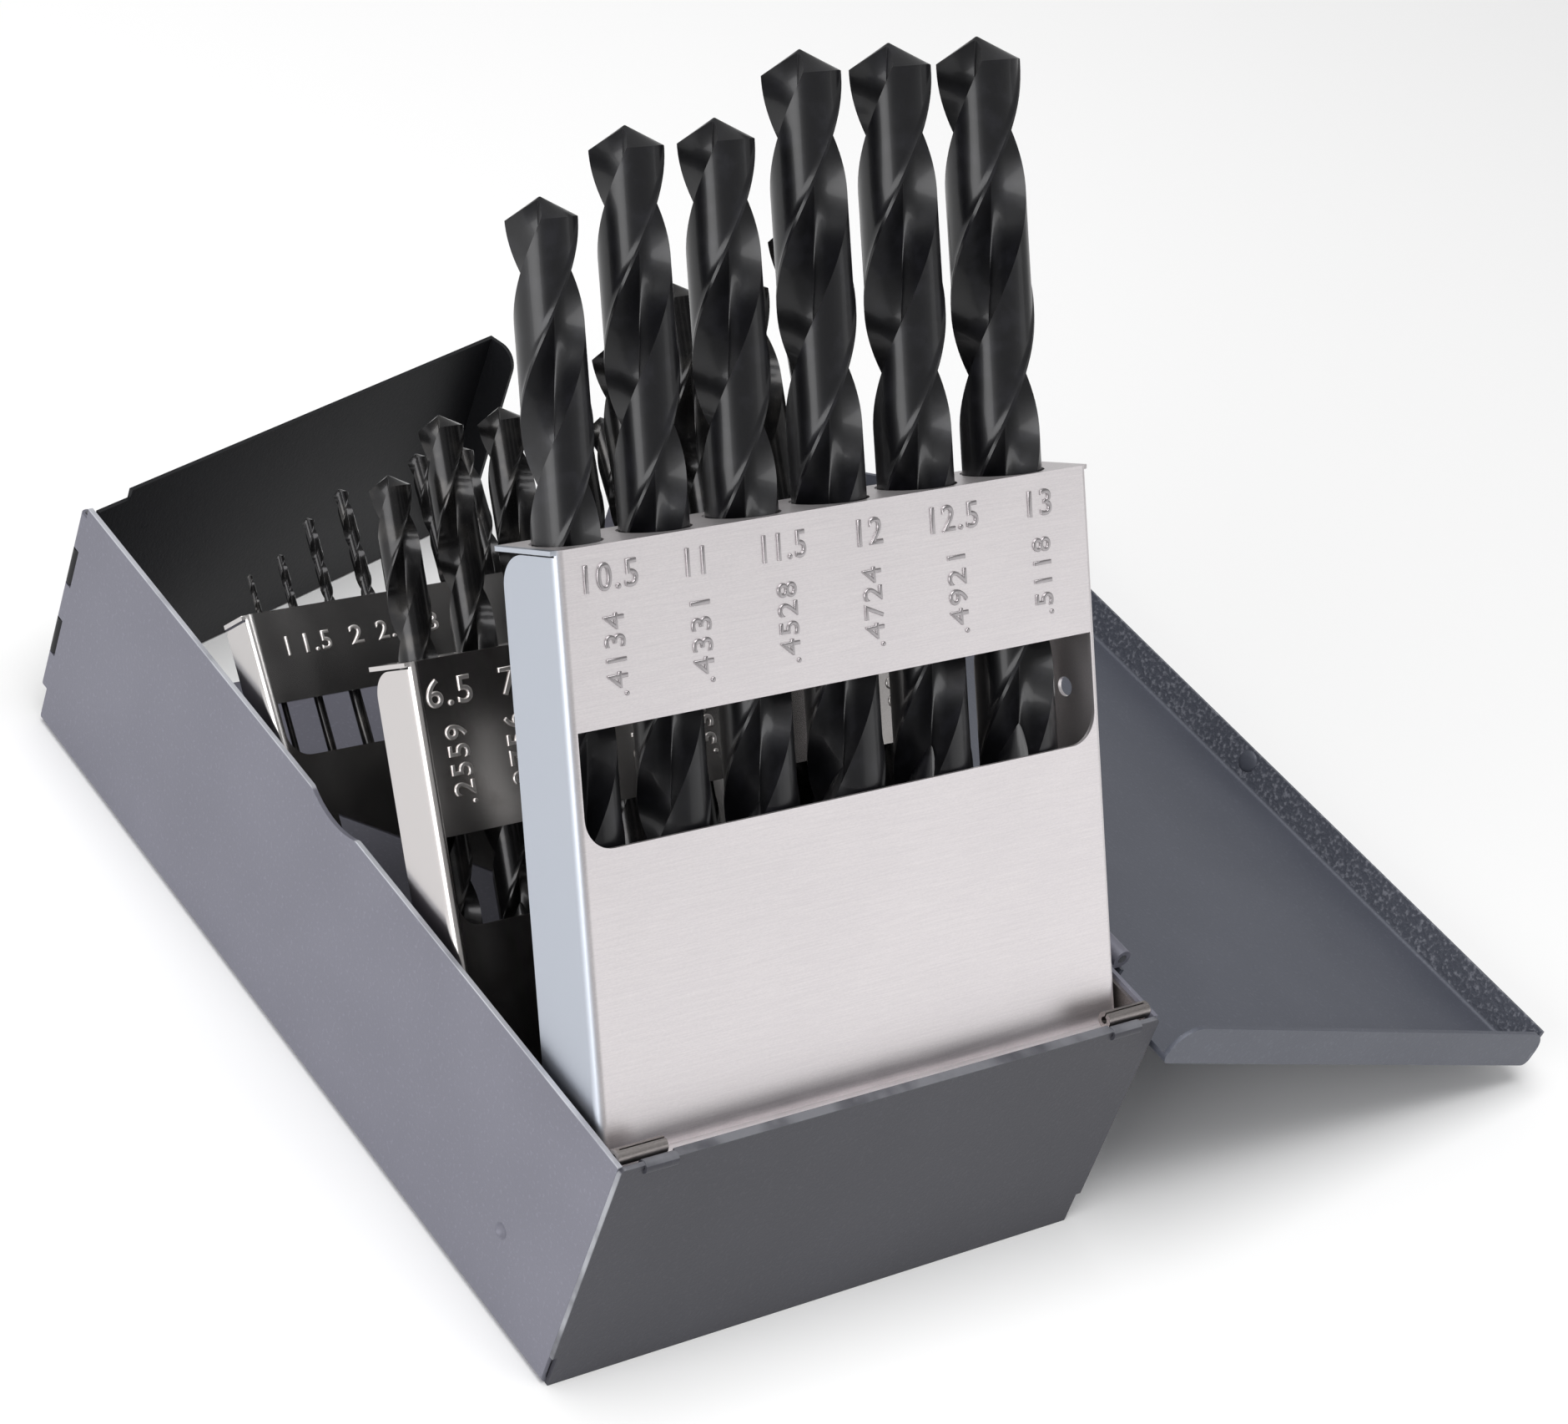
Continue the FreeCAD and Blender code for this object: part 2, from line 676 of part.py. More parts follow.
def main():
    os.makedirs("parts", exist_ok=True)
    export(tray(), "tray")
    export(front_panel(), "front_panel")
    export(lid(), "lid")
    export(lid_hinge_pin(), "lid_hinge_pin")
    export(back_door(), "back_door")
    export(back_door_hinge_pin(), "back_door_hinge_pin")
    export(side_plate(-1), "side_plate_left")
    export(side_plate(1), "side_plate_right")

    large_pivot, medium_pivot, small_pivot = rack_pivots()
    large_places = bit_places(large_diameters, large_left_margin, large_right_margin)
    medium_places = bit_places(medium_diameters, medium_left_margin, medium_right_margin)
    small_places = bit_places(small_diameters, small_left_margin, small_right_margin)

    large = whole_width_rack(large_reach, large_face, large_depth, large_flange,
                             large_flange_corner, large_axis, large_diameters, large_places,
                             (large_window_top, large_window_bottom, large_window_corner))
    hole_y = large_reach - large_flange_hole_depth
    hole_start = V(rack_half_width - overrun, hole_y, large_face - large_axis)
    large = large.cut(rod(large_flange_hole, hole_start, X_AXIS, 2 * overrun))
    medium = whole_width_rack(medium_reach, medium_face, medium_depth, medium_flange,
                              medium_flange_corner, medium_axis, medium_diameters, medium_places,
                              (medium_window_top, medium_window_bottom, medium_window_corner))
    export(raised(large, large_pivot, large_rise), "rack_large")
    export(raised(medium, medium_pivot, medium_rise), "rack_medium")
    export(raised(small_rack_shell(small_places), small_pivot, small_rise), "rack_small")
    export(rack_pin(large_pivot), "rack_large_pin")
    export(rack_pin(medium_pivot), "rack_medium_pin")
    export(rack_pin(small_pivot), "rack_small_pin")

    half = rack_half_width - 2 * rack_sheet - floor_side_gap
    large_y = large_reach - large_floor_depth
    medium_y = medium_reach - medium_floor_depth
    large_floor = rack_floor(large_face, large_depth, [(-half, large_y), (half, large_y)])
    medium_floor = rack_floor(medium_face, medium_depth, [(-half, medium_y), (half, medium_y)])
    small_left = (-half, small_reach - small_floor_at(-half))
    small_knee = (small_floor_knee, small_floor_end)
    small_right = (half, small_floor_end)
    small_floor = rack_floor(small_face, small_depth, [small_left, small_knee, small_right])
    export(raised(large_floor, large_pivot, large_rise), "rack_large_floor")
    export(raised(medium_floor, medium_pivot, medium_rise), "rack_medium_floor")
    export(raised(small_floor, small_pivot, small_rise), "rack_small_floor")

    small_floors = []
    for diameter, place in zip(small_diameters, small_places):
        small_floors.append(small_floor_at(place) - small_floor_slope * diameter / 2)
    export_bits(large_diameters, large_lengths, large_flutes, large_places,
                [large_floor_depth] * len(large_places), large_face, large_axis,
                large_reach, large_pivot, large_rise)
    export_bits(medium_diameters, medium_lengths, medium_flutes, medium_places,
                [medium_floor_depth] * len(medium_places), medium_face, medium_axis,
                medium_reach, medium_pivot, medium_rise)
    export_bits(small_diameters, small_lengths, small_flutes, small_places, small_floors,
                small_face, small_axis, small_reach, small_pivot, small_rise)


main()
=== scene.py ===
import json
import math
from collections import namedtuple

import bmesh
import bpy
from mathutils import Matrix, Vector


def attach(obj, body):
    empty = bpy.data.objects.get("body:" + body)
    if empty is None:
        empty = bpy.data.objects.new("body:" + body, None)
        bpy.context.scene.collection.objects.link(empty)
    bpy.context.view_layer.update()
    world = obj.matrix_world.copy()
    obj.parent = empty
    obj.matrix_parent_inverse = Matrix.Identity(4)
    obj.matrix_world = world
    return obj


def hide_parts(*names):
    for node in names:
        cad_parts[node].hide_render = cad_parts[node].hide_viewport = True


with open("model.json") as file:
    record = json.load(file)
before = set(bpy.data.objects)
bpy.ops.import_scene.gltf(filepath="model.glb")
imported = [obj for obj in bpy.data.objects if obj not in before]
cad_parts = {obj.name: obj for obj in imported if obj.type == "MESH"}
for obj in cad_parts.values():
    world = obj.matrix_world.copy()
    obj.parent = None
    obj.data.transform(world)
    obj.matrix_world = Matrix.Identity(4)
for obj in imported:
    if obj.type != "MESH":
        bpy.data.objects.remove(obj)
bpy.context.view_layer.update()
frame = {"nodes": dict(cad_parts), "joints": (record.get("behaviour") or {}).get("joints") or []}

# Sizes are in millimetres and angles in degrees, and a name that ends in _m or _M is in metres.
# The racks' places and the drills' diameters and lengths repeat the solids'.
MM = 0.001
INCH = 25.4
TO_METRES = Matrix.Diagonal((MM, MM, MM, 1))

Rack = namedtuple("Rack", "name body joint rise reach face axis left_margin right_margin "
                          "diameters lengths flutes floor_depths")

LID_OPEN = 196.4
RACK_HALF_WIDTH = 51.8
SMALL_LEFT_MARGIN = 4.4
SMALL_RIGHT_MARGIN = 8.7
SMALL_FLOOR_DEPTH = 27.2
SMALL_FLOOR_SLOPE = 0.56

SMALL_DIAMETERS = [1.0, 1.5, 2.0, 2.5, 3.0, 3.5, 4.0, 4.5, 5.0, 5.5, 6.0]
SMALL_LENGTHS = [34, 40, 49, 57, 61, 70, 75, 80, 86, 93, 93]
SMALL_FLUTES = [12, 18, 24, 30, 33, 39, 43, 47, 52, 57, 57]
MEDIUM_DIAMETERS = [6.5, 7.0, 7.5, 8.0, 8.5, 9.0, 9.5, 10.0]
MEDIUM_LENGTHS = [101, 109, 109, 117, 117, 125, 125, 133]
MEDIUM_FLUTES = [77, 83, 83, 89, 89, 95, 95, 101]
LARGE_DIAMETERS = [10.5, 11.0, 11.5, 12.0, 12.5, 13.0]
LARGE_LENGTHS = [133, 142, 142, 151, 151, 151]
LARGE_FLUTES = [107, 114, 114, 121, 121, 121]


def bit_places(diameters, left_margin, right_margin):
    """Where the bits stand across a rack."""
    room = 2 * RACK_HALF_WIDTH - left_margin - right_margin - sum(diameters)
    gap = room / (len(diameters) - 1)
    places = [-RACK_HALF_WIDTH + left_margin + diameters[0] / 2]
    for before, after in zip(diameters, diameters[1:]):
        places.append(places[-1] + (before + after) / 2 + gap)
    return places


def small_floor_depths():
    """Depth below the small rack's top at which each bit stands on the sloping strip."""
    places = bit_places(SMALL_DIAMETERS, SMALL_LEFT_MARGIN, SMALL_RIGHT_MARGIN)
    depths = []
    for diameter, place in zip(SMALL_DIAMETERS, places):
        depths.append(SMALL_FLOOR_DEPTH + SMALL_FLOOR_SLOPE * (place - places[0] - diameter / 2))
    return depths


LARGE = Rack(name="large", body="large_rack", joint="rack_large_fold", rise=57.0, reach=91.3,
             face=-1.2, axis=7.5, left_margin=2.15, right_margin=4.95,
             diameters=LARGE_DIAMETERS, lengths=LARGE_LENGTHS, flutes=LARGE_FLUTES,
             floor_depths=[83.4] * len(LARGE_DIAMETERS))
MEDIUM = Rack(name="medium", body="medium_rack", joint="rack_medium_fold", rise=48.6, reach=75.2,
              face=-1.2, axis=5.9, left_margin=2.35, right_margin=6.55,
              diameters=MEDIUM_DIAMETERS, lengths=MEDIUM_LENGTHS, flutes=MEDIUM_FLUTES,
              floor_depths=[72.6] * len(MEDIUM_DIAMETERS))
SMALL = Rack(name="small", body="small_rack", joint="rack_small_fold", rise=37.6, reach=79.7,
             face=2.3, axis=3.75, left_margin=SMALL_LEFT_MARGIN, right_margin=SMALL_RIGHT_MARGIN,
             diameters=SMALL_DIAMETERS, lengths=SMALL_LENGTHS, flutes=SMALL_FLUTES,
             floor_depths=small_floor_depths())
RACKS = [LARGE, MEDIUM, SMALL]


def joint_place(name):
    """A joint's point in metres."""
    return Vector(next(joint["pos_m"] for joint in frame["joints"] if joint["name"] == name))


def rack_frame(rack):
    """Matrix from a rack's own flat frame, where Y runs up its face, to the case, in metres."""
    raised = Matrix.Rotation(math.radians(rack.rise), 4, "X")
    return Matrix.Translation(joint_place(rack.joint)) @ raised


# Selecting and shaping by hand

def only(*pieces):
    """Selects these pieces and nothing else; the first becomes active."""
    if bpy.context.object and bpy.context.object.mode != "OBJECT":
        bpy.ops.object.mode_set(mode="OBJECT")
    bpy.ops.object.select_all(action="DESELECT")
    for piece in pieces:
        piece.select_set(True)
    bpy.context.view_layer.objects.active = pieces[0]


def added(operator, **settings):
    """A new object from one operator, made with nothing else selected."""
    bpy.ops.object.select_all(action="DESELECT")
    operator(**settings)
    return bpy.context.object


def open_for_edit(piece):
    """Opens a piece in edit mode with nothing on it selected."""
    only(piece)
    bpy.ops.object.mode_set(mode="EDIT")
    bpy.ops.mesh.select_all(action="DESELECT")


def close_edit():
    bpy.ops.object.mode_set(mode="OBJECT")


def pick(piece, kind, test):
    """Selects the open piece's verts, edges or faces that pass the test."""
    shape = bmesh.from_edit_mesh(piece.data)
    chosen = [item for item in getattr(shape, kind) if test(item)]
    for vert in shape.verts:
        vert.select_set(False)
    for item in chosen:
        item.select_set(True)
    shape.select_flush_mode()
    bmesh.update_edit_mesh(piece.data)


def apply_modifier(piece, kind, **settings):
    only(piece)
    modifier = piece.modifiers.new(kind.title(), kind)
    for name, value in settings.items():
        setattr(modifier, name, value)
    bpy.ops.object.modifier_apply(modifier=modifier.name)


def place(piece, matrix):
    """Moves a piece's mesh by a matrix and leaves its object at the origin."""
    only(piece)
    piece.matrix_world = matrix @ piece.matrix_world
    bpy.ops.object.transform_apply(location=True, rotation=True, scale=True)


def smooth(piece, angle):
    only(piece)
    bpy.ops.object.shade_smooth_by_angle(angle=math.radians(angle))


def finish_piece(piece, name, body, slot, finish, *nodes):
    """Names a piece, gives it its finish and hangs it on its body."""
    piece.name = name
    piece.data.name = name
    piece.data.materials.clear()
    piece.data.materials.append(finish)
    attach(piece, body)
    if nodes:
        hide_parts(*nodes)


SHEET_EASE = 0.12
PLATE_EASE = 0.1
EASE_SEGMENTS = 2
SAME_POINT = 0.002
SAME_PLANE = 1
SHARP_CORNER = 40
SHEET_SMOOTH = 35


def eased_copy(node, ease=SHEET_EASE, shape=None):
    """A copy of a CAD sheet with its facets merged and its edges rounded over."""
    only(frame["nodes"][node])
    bpy.ops.object.duplicate()
    piece = bpy.context.object
    open_for_edit(piece)
    bpy.ops.mesh.select_all(action="SELECT")
    bpy.ops.mesh.remove_doubles(threshold=SAME_POINT * MM)
    bpy.ops.mesh.dissolve_limited(angle_limit=math.radians(SAME_PLANE))
    close_edit()
    apply_modifier(piece, "BEVEL", width=ease * MM, segments=EASE_SEGMENTS, limit_method="ANGLE",
                   angle_limit=math.radians(SHARP_CORNER), use_clamp_overlap=True)
    if shape:
        shape(piece)
    smooth(piece, SHEET_SMOOTH)
    apply_modifier(piece, "WEIGHTED_NORMAL", keep_sharp=True)
    return piece


# Finishes

class Field:
    """A number that varies over a surface; sums written on it become Math nodes."""

    def __init__(self, finish, socket):
        self.finish = finish
        self.socket = socket

    def maths(self, operation, *values):
        return self.finish.add("ShaderNodeMath", {"operation": operation}, dict(enumerate(values)))

    def __add__(self, other):
        return self.maths("ADD", self, other)

    __radd__ = __add__

    def __sub__(self, other):
        return self.maths("SUBTRACT", self, other)

    def __rsub__(self, other):
        return self.maths("SUBTRACT", other, self)

    def __mul__(self, other):
        return self.maths("MULTIPLY", self, other)

    __rmul__ = __mul__

    def __gt__(self, other):
        return self.maths("GREATER_THAN", self, other)

    def __lt__(self, other):
        return self.maths("LESS_THAN", self, other)


class Finish:
    """One procedural material, built round its Principled shader."""

    def __init__(self, name):
        self.material = bpy.data.materials.new(name)
        self.material.use_nodes = True
        self.nodes = self.material.node_tree.nodes
        self.links = self.material.node_tree.links
        self.shader = self.nodes["Principled BSDF"]
        self.position = self.add("ShaderNodeTexCoord", {}, {}, "Object")

    def add(self, kind, settings, inputs, output=0):
        """Adds one node, sets it up, then fills or links its sockets."""
        node = self.nodes.new(kind)
        for name, value in settings.items():
            setattr(node, name, value)
        for name, value in inputs.items():
            self.fill(node.inputs[name], value)
        return Field(self, node.outputs[output])

    def fill(self, socket, value):
        """Links a varying value to a socket, or sets a constant on it."""
        if isinstance(value, Field):
            self.links.new(value.socket, socket)
        else:
            socket.default_value = value

    def axes(self):
        """X, Y and Z of the surface point in metres."""
        first = self.add("ShaderNodeSeparateXYZ", {}, {0: self.position})
        return [Field(self, socket) for socket in first.socket.node.outputs]

    def stretched(self, stretch):
        """The surface point in millimetres, stretched along its axes."""
        scale = tuple(share / MM for share in stretch)
        return self.add("ShaderNodeMapping", {"vector_type": "POINT"},
                        {"Vector": self.position, "Scale": scale})

    def noise(self, scale, detail, stretch=(1, 1, 1)):
        """Cloudy noise from 0 to 1, with its size in features per millimetre."""
        return self.add("ShaderNodeTexNoise", {}, {"Vector": self.stretched(stretch),
                                                   "Scale": scale, "Detail": detail})

    def step(self, value, low, high):
        """0 below low, 1 above high, smooth between."""
        return self.add("ShaderNodeMapRange", {"interpolation_type": "SMOOTHSTEP"},
                        {"Value": value, "From Min": low, "From Max": high})

    def past(self, place, span):
        """0 before and 1 after a short span along an axis, given in millimetres."""
        return self.step(place, span[0] * MM, span[1] * MM)

    def mix(self, factor, first, second):
        """Colour between first and second."""
        inputs = {0: factor, 6: first, 7: second}
        return self.add("ShaderNodeMix", {"data_type": "RGBA"}, inputs, 2)

    def bump(self, height, strength, distance):
        return self.add("ShaderNodeBump", {}, {"Height": height, "Strength": strength,
                                               "Distance": distance})

    def surface(self, **sockets):
        """Fills the shader's sockets; a name's underscores stand for spaces."""
        for name, value in sockets.items():
            self.fill(self.shader.inputs[name.replace("_", " ")], value)
        return self.material


def seen(red, green, blue):
    """Scene colour from the 0 to 255 values that a picture shows."""
    def light(value):
        value /= 255
        return value / 12.92 if value <= 0.04045 else ((value + 0.055) / 1.055) ** 2.4
    return (light(red), light(green), light(blue), 1)


HAMMER_SIZE = 1.5
HAMMER_DEPTH = 0.07
LUMP_SIZE = 1.2
LUMP_HEIGHT = 5
# Pale bare-steel colour for edges: wear, and a painted highlight along the edge.
BARE_STEEL_WEAR_AND_HIGHLIGHT = seen(196, 198, 204)
RIM_SPECK = seen(138, 140, 149)

# Short spans along one axis, over which a finish changes.
LID_RIM_FACE = (154.8, 155.0)
LID_RIM_FOOT = 52.4
WALL_TOP_EDGE = (45.05, 45.3)
PANEL_TOP_EDGE = (45.2, 45.35)
PANEL_LEFT_EDGE = (53.7, 53.9)
RACK_SIDE_SHADE_SPAN = (50.7, 51.5)


def hammered_paint(name, shade, speck, wear_and_highlight=None, coarse=None):
    """Grey paint with a fine hammered skin, paler specks, edges that are worn and carry a painted
    highlight, and coarser places.
    """
    paint = Finish(name)
    cells = paint.noise(HAMMER_SIZE, detail=3)
    clouds = paint.noise(0.04, detail=2)
    grain = paint.noise(6.0, detail=1)
    specks = paint.step(cells, 0.56, 0.7)
    colour = paint.mix(specks * 0.35 + (clouds - 0.5) * 0.5 + 0.1, shade, speck)
    height = cells + 0.4 * grain
    if wear_and_highlight:
        # Edges in bare steel: partly wear, partly a painted highlight along the edge.
        colour = paint.mix(wear_and_highlight(paint), colour, BARE_STEEL_WEAR_AND_HIGHLIGHT)
    if coarse:
        share = coarse(paint)
        lumps = paint.noise(LUMP_SIZE, detail=2)
        height = height + share * LUMP_HEIGHT * lumps
        colour = paint.mix(share * paint.step(lumps, 0.48, 0.72), colour, RIM_SPECK)
    return paint.surface(
        Base_Color=colour,
        Metallic=0.25,
        Roughness=0.42 + 0.16 * grain,
        Normal=paint.bump(height, 0.5, HAMMER_DEPTH * MM))


def lid_rim(paint):
    """1 on the lid's far rim, 0 elsewhere, read along the open lid's own slope."""
    x, _, z = paint.axes()
    slope = math.radians(LID_OPEN - 180)
    along = x * math.cos(slope) - z * math.sin(slope)
    above = x * math.sin(slope) + z * math.cos(slope)
    return paint.past(along, LID_RIM_FACE) * (above > LID_RIM_FOOT * MM)


def wear(paint):
    """Patches from 0 to 1 where an edge is rubbed."""
    return paint.step(paint.noise(0.12, detail=3), 0.3, 0.6)


def worn_tray(paint):
    """Share of bare metal along the top edge of the left wall, from wear and from a painted
    highlight along that edge.
    """
    x, _, z = paint.axes()
    return paint.past(z, WALL_TOP_EDGE) * (x < 0) * (0.45 + 0.4 * wear(paint))


def worn_panel(paint):
    """Share of bare metal along the left end and the top edge of the front panel, from wear and
    from a painted highlight on the bend of the left end.
    """
    x, _, z = paint.axes()
    end = paint.past(0 - x, PANEL_LEFT_EDGE)
    top = paint.past(z, PANEL_TOP_EDGE) * 0.4
    edges = paint.add("ShaderNodeMath", {"operation": "MAXIMUM"}, {0: end, 1: top})
    return edges * (0.1 + 0.5 * wear(paint))


def brushed_sheet(name, bright, dull, rough, patches=0.25, tarnish=None, side=None, brush=1.0):
    """Bright sheet steel with fine brushing that runs across the rack, and a painted shade on its
    left side flange and bend where a side colour is given.
    """
    sheet = Finish(name)
    brushing = sheet.noise(1.0, detail=3, stretch=(0.12, 5.0, 5.0))
    grain = sheet.noise(3.5, detail=2, stretch=(1.4 - 0.8 * brush, 1.4, 1.4))
    clouds = sheet.noise(0.05, detail=3)
    tone = (brushing - 0.5) * 0.35 * brush + 0.175 + grain * 0.3 + clouds * patches
    colour = sheet.mix(sheet.step(tone, 0.2, 0.75), dull, bright)
    if tarnish:
        stain = sheet.step(sheet.noise(0.09, detail=4), 0.56, 0.72)
        colour = sheet.mix(stain * 0.45 * sheet.step(grain, 0.3, 0.6), colour, tarnish)
    # Painted shade: the left side flange and its bend take a darker side colour.
    if side:
        x = sheet.axes()[0]
        colour = sheet.mix(sheet.past(0 - x, RACK_SIDE_SHADE_SPAN), colour, side)
    return sheet.surface(
        Base_Color=colour,
        Metallic=1.0,
        Roughness=rough + 0.1 * brush * brushing + 0.08 * clouds,
        Normal=sheet.bump(brushing + 0.5 * grain, 0.1 * brush, 0.02 * MM))


def drawn_wire(name, shade, streak):
    """Plain drawn steel wire, a little dull."""
    wire = Finish(name)
    streaks = wire.noise(2.0, detail=2)
    return wire.surface(
        Base_Color=wire.mix(streaks, shade, streak),
        Metallic=1.0,
        Roughness=0.32 + 0.2 * streaks)


def black_oxide(name, shade, bloom, rough, metal):
    """Black oxide on ground steel: a soft sheen, fine grain and greyer bloom."""
    skin = Finish(name)
    grain = skin.noise(5.0, detail=2)
    bloomed = skin.step(skin.noise(0.25, detail=3), 0.45, 0.75)
    return skin.surface(
        Base_Color=skin.mix(bloomed * 0.6 + grain * 0.25, shade, bloom),
        Metallic=metal,
        Roughness=rough + 0.12 * grain,
        Coat_Weight=0.2,
        Coat_Roughness=0.1,
        Normal=skin.bump(grain, 0.12, 0.01 * MM))


CASE_PAINT = hammered_paint("case_paint", seen(111, 111, 122), seen(134, 134, 146), worn_tray)
# Painted shade: the front panel is the case's paint in a darker copy.
SHADED_PANEL_PAINT = hammered_paint("panel_paint", seen(60, 60, 67), seen(75, 75, 83), worn_panel)
# Painted shade: the door is the case's paint in a near-black copy, for its shaded inner face.
SHADED_DOOR_PAINT = hammered_paint("door_paint", seen(12, 13, 17), seen(24, 25, 30))
LID_PAINT = hammered_paint("lid_paint", seen(86, 89, 99), seen(108, 111, 121), coarse=lid_rim)
BROWN_TARNISH = seen(120, 102, 90)
# Each rack's side colour is painted shade on its left flange and bend.
LARGE_SHEET = brushed_sheet("large_rack_sheet", seen(242, 237, 238), seen(219, 214, 216),
                            rough=0.34, side=seen(183, 188, 197))
MEDIUM_SHEET = brushed_sheet("medium_rack_sheet", seen(226, 222, 220), seen(186, 182, 180),
                             rough=0.17, patches=0.4, tarnish=BROWN_TARNISH,
                             side=seen(202, 198, 197), brush=0.08)
SMALL_SHEET = brushed_sheet("small_rack_sheet", seen(206, 204, 203), seen(168, 166, 165),
                            rough=0.17, patches=0.4, tarnish=BROWN_TARNISH,
                            side=seen(194, 191, 190), brush=0.08)
# Painted highlight: the medium and small racks' figures in steel paler than their sheets.
HIGHLIT_STAMPED_STEEL = brushed_sheet("stamped_steel", seen(244, 240, 238), seen(222, 218, 216),
                              rough=0.32)
# Painted shade: the large rack's figures in steel darker than its sheet.
SHADED_LARGE_STAMPS = brushed_sheet("large_stamped_steel", seen(180, 176, 178), seen(160, 156, 158),
                              rough=0.2)
BARE_PLATE = brushed_sheet("bare_plate", seen(176, 170, 168), seen(130, 125, 123), rough=0.3)
FLOOR_SHEET = brushed_sheet("floor_sheet", seen(120, 119, 120), seen(84, 83, 84), rough=0.34)
HINGE_STEEL = drawn_wire("hinge_steel", seen(120, 120, 122), seen(170, 170, 172))
LARGE_BLACK = black_oxide("large_drill_black", seen(11, 11, 14), seen(33, 33, 38),
                          rough=0.28, metal=0.25)
BRIGHT_BLACK = black_oxide("bright_drill_black", seen(32, 32, 34), seen(68, 66, 64),
                           rough=0.19, metal=0.75)


# Twist drills

# Angles of the section are measured round a drill from the middle of a land.
SECTION_STEP = 5
LAND_HALF = 45
MARGIN = 8
LAND_RELIEF = 0.965
WEB = 0.15
HEEL_START = 100
HEEL_CURVE = {100: 0.167, 105: 0.172, 110: 0.185, 115: 0.21, 120: 0.25, 125: 0.33, 130: 0.5}
SAME_LINE = 1e-5
SAME_HEIGHT = 1e-3

# The pitch and the overlap of flutes and shank are shares of a drill's diameter.
PITCH_SHARE = 5.8
FLUTE_OVERLAP = 0.2
SWEEP_STEP = 6
FEWEST_SWEEPS = 8
DRILL_SMOOTH = 28

# The envelope of a point is wider than its drill by the room, starts below the drill's foot,
# and ends in a tip of a small share of its width.
POINT_ANGLE = 118
POINT_TURN = -63
POINT_ROOM = 1.04
POINT_FOOT = 1
POINT_TIP = 0.02
POINT_SIDES = 64

# The shank's width, the rounding of its foot and the rise of each step of its taper are shares
# of a drill's diameter. A step also has the share of the width that it leaves.
SHANK_SHARE = 0.968
SHANK_FOOT = 0.05
SHANK_TAPER = [(0.45, 0.86), (0.6, 0.16)]
SHANK_SIDES = 48


def flute_share(degrees):
    """Distance from the axis, as a share of the radius, at an angle from a land's middle."""
    if degrees in HEEL_CURVE:
        return HEEL_CURVE[degrees]
    if LAND_HALF < degrees < HEEL_START:
        lip_turn = LAND_HALF - math.degrees(math.asin(WEB))
        return WEB / math.sin(math.radians(degrees - lip_turn))
    if LAND_HALF - MARGIN < degrees <= LAND_HALF:
        return 1.0
    return LAND_RELIEF


def drill_section():
    """Closed outline of a drill of radius 1, pulled in from a circle pair by pair."""
    section = added(bpy.ops.mesh.primitive_circle_add, vertices=360 // SECTION_STEP, radius=1)
    open_for_edit(section)
    for degrees in range(-LAND_HALF, 180 - LAND_HALF, SECTION_STEP):
        share = flute_share(degrees)
        line = Vector((math.cos(math.radians(degrees)), math.sin(math.radians(degrees)), 0))
        pick(section, "verts",
             lambda vert: abs(abs(vert.co.normalized().dot(line)) - 1) < SAME_LINE)
        bpy.ops.transform.resize(value=(share, share, 1), center_override=(0, 0, 0))
    close_edit()
    return section


def pick_top(piece):
    """Picks the flat top of the open piece."""
    pick(piece, "faces", lambda face: face.normal.z > 0.9)


def extrude_top(rise, share):
    """Raises the picked top of the open piece and scales it about the axis."""
    bpy.ops.mesh.extrude_region_move(TRANSFORM_OT_translate={"value": (0, 0, rise)})
    bpy.ops.transform.resize(value=(share, share, 1), center_override=(0, 0, 0))


def shank(diameter, length):
    """Round shank whose top tapers off inside the flutes' run-out."""
    rod = added(bpy.ops.mesh.primitive_cylinder_add, vertices=SHANK_SIDES,
                radius=diameter / 2 * SHANK_SHARE, depth=length, location=(0, 0, length / 2))
    open_for_edit(rod)
    pick_top(rod)
    for rise, share in SHANK_TAPER:
        extrude_top(diameter * rise, share)
    foot = -length / 2 + SAME_HEIGHT
    pick(rod, "edges", lambda edge: all(vert.co.z < foot for vert in edge.verts))
    bpy.ops.mesh.bevel(offset=diameter * SHANK_FOOT, segments=2)
    close_edit()
    bpy.ops.object.transform_apply(location=True, rotation=True, scale=True)
    return rod


def point_envelope(diameter, length):
    """Bullet shape that grinds the fluted rod to its point."""
    radius = diameter / 2 * POINT_ROOM
    point = radius / math.tan(math.radians(POINT_ANGLE / 2))
    side = length - point
    bullet = added(bpy.ops.mesh.primitive_cylinder_add, vertices=POINT_SIDES, radius=radius,
                   depth=side + POINT_FOOT, location=(0, 0, (side - POINT_FOOT) / 2))
    open_for_edit(bullet)
    pick_top(bullet)
    extrude_top(point * (1 - POINT_TIP), POINT_TIP)
    close_edit()
    bpy.ops.object.transform_apply(location=True, rotation=True, scale=True)
    return bullet


